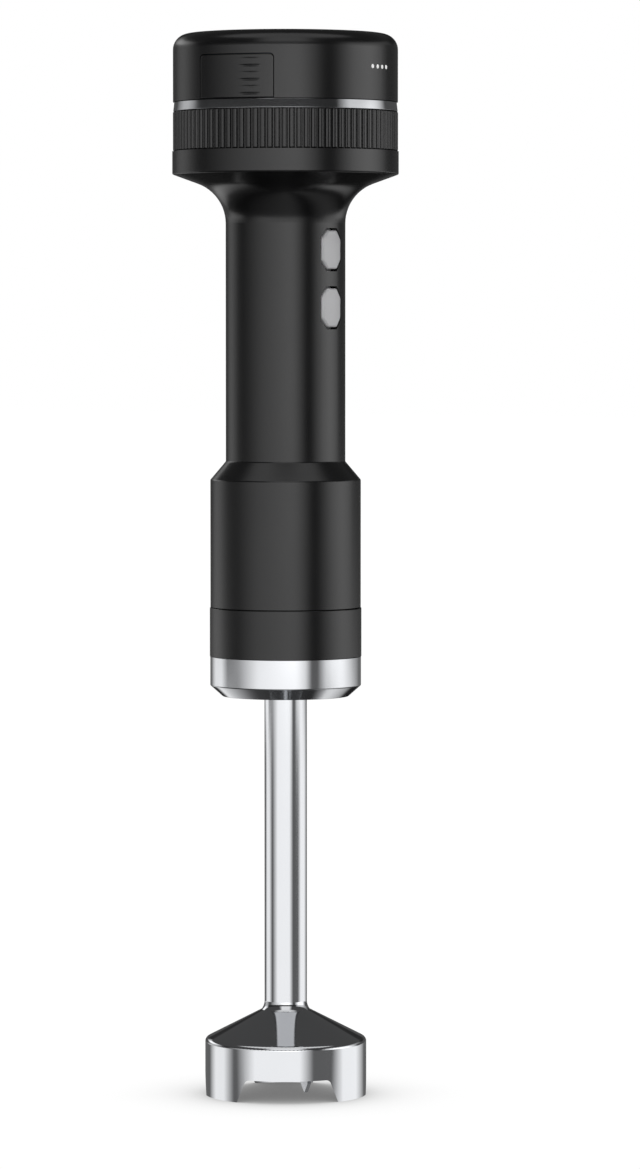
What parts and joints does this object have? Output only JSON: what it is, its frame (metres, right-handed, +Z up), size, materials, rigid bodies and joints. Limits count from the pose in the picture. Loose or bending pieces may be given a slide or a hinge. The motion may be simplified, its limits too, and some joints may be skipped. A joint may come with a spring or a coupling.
{
  "type": "immersion blender",
  "caption": "Cordless stick blender: wide round head with battery pack and ribbed speed dial, slim grip with push buttons, twist-off steel arm and bell guard.",
  "frame": {"origin": "on the floor, under the middle of the bell guard", "axes": "+Z up along the tool, -Y is the front with the push buttons"},
  "size_m": [0.086, 0.086, 0.404],
  "materials": {
    "black_shell": "satin moulded",
    "dial_plastic": "satin ribbed",
    "chrome_trim": "polished",
    "tube_steel": "polished",
    "blade_steel": "ground",
    "grey_button": "satin",
    "light_pipe": "clear white",
    "inner_plastic": "moulded",
    "coupling_plastic": "glass-filled",
    "circuit_board": "solder mask",
    "board_parts": "component cases",
    "rubber_parts": "moulded",
    "copper_parts": "bare",
    "screw_steel": "zinc plated",
    "motor_steel": "plated",
    "magnet_grey": "matt",
    "bush_bronze": "sintered",
    "lead_wire": "insulation",
    "cell_sleeve": "shrink sleeve"
  },
  "bodies": {
    "housing": {"main_housing": "black_shell", "trim_ring": "chrome_trim", "top_deck": "inner_plastic", "deck_screws": "screw_steel", "contact_block": "inner_plastic", "contact_blades": "copper_parts", "control_board": "circuit_board", "power_parts": "board_parts", "switch_board": "circuit_board", "tact_switches": "board_parts", "switch_carrier": "inner_plastic", "start_dome": "rubber_parts", "turbo_dome": "rubber_parts", "motor_can": "motor_steel", "lower_motor_bearing": "motor_steel", "motor_magnets": "magnet_grey", "motor_end_cap": "inner_plastic", "upper_motor_bearing": "motor_steel", "carbon_brushes": "magnet_grey", "motor_leads": "lead_wire", "motor_mount": "inner_plastic", "motor_screws": "screw_steel", "arm_socket": "inner_plastic", "socket_screws": "screw_steel"},
    "speed_dial": {"dial_ring": "dial_plastic", "dial_magnet": "magnet_grey"},
    "start_button": {"start_button": "grey_button"},
    "turbo_button": {"turbo_button": "grey_button"},
    "rotor": {"motor_shaft": "motor_steel", "armature_core": "motor_steel", "armature_winding": "copper_parts", "commutator": "copper_parts", "drive_coupling": "coupling_plastic"},
    "lock_ring": {"lock_ring": "inner_plastic"},
    "arm": {"arm_cup": "chrome_trim", "arm_collar": "black_shell", "arm_hub": "inner_plastic", "spigot_seal": "rubber_parts", "arm_tube": "tube_steel", "upper_bush": "bush_bronze", "lower_bush": "bush_bronze", "shaft_seal": "rubber_parts", "bell_guard": "tube_steel"},
    "blade_shaft": {"drive_shaft": "motor_steel", "driven_coupling": "coupling_plastic", "blade_spacer": "blade_steel", "blade_nut": "blade_steel", "blade": "blade_steel"},
    "battery_pack": {"pack_shell": "black_shell", "pack_floor": "inner_plastic", "cell_cradle": "inner_plastic", "battery_cells": "cell_sleeve", "gauge_board": "circuit_board", "charge_lights": "light_pipe", "pack_terminals": "copper_parts", "pack_screws": "screw_steel", "release_spring": "screw_steel"},
    "release_button": {"release_button": "black_shell"}
  },
  "joints": [
    {"name": "speed_dial_turn", "type": "hinge", "parent": "housing", "child": "speed_dial", "pos_m": [0, 0, 0.3683], "axis": [0, 0, 1], "range_deg": [0, 270]},
    {"name": "start_press", "type": "slide", "parent": "housing", "child": "start_button", "axis": [0, 1, 0], "range_m": [0, 0.0012], "stiffness_N_per_m": 500, "springref_m": -0.002, "deforming": ["start_dome"]},
    {"name": "turbo_press", "type": "slide", "parent": "housing", "child": "turbo_button", "axis": [0, 1, 0], "range_m": [0, 0.0012], "stiffness_N_per_m": 500, "springref_m": -0.002, "deforming": ["turbo_dome"]},
    {"name": "motor_spin", "type": "hinge", "parent": "housing", "child": "rotor", "pos_m": [0, 0, 0.23], "axis": [0, 0, 1], "continuous": true},
    {"name": "arm_twist", "type": "hinge", "parent": "housing", "child": "lock_ring", "pos_m": [0, 0, 0.194], "axis": [0, 0, 1], "range_deg": [0, 30]},
    {"name": "arm_pull", "type": "slide", "parent": "lock_ring", "child": "arm", "axis": [0, 0, -1], "range_m": [0, 0.04]},
    {"name": "blade_spin", "type": "hinge", "parent": "arm", "child": "blade_shaft", "pos_m": [0, 0, 0.1], "axis": [0, 0, 1], "continuous": true},
    {"name": "pack_lift", "type": "slide", "parent": "housing", "child": "battery_pack", "axis": [0, 0, 1], "range_m": [0, 0.03]},
    {"name": "release_press", "type": "slide", "parent": "battery_pack", "child": "release_button", "axis": [0.9767, 0.2147, 0], "range_m": [0, 0.002], "stiffness_N_per_m": 600, "springref_m": -0.003, "deforming": ["release_spring"]}
  ],
  "couplings": [
    {"joint": "blade_spin", "follows": "motor_spin", "ratio": 1}
  ]
}
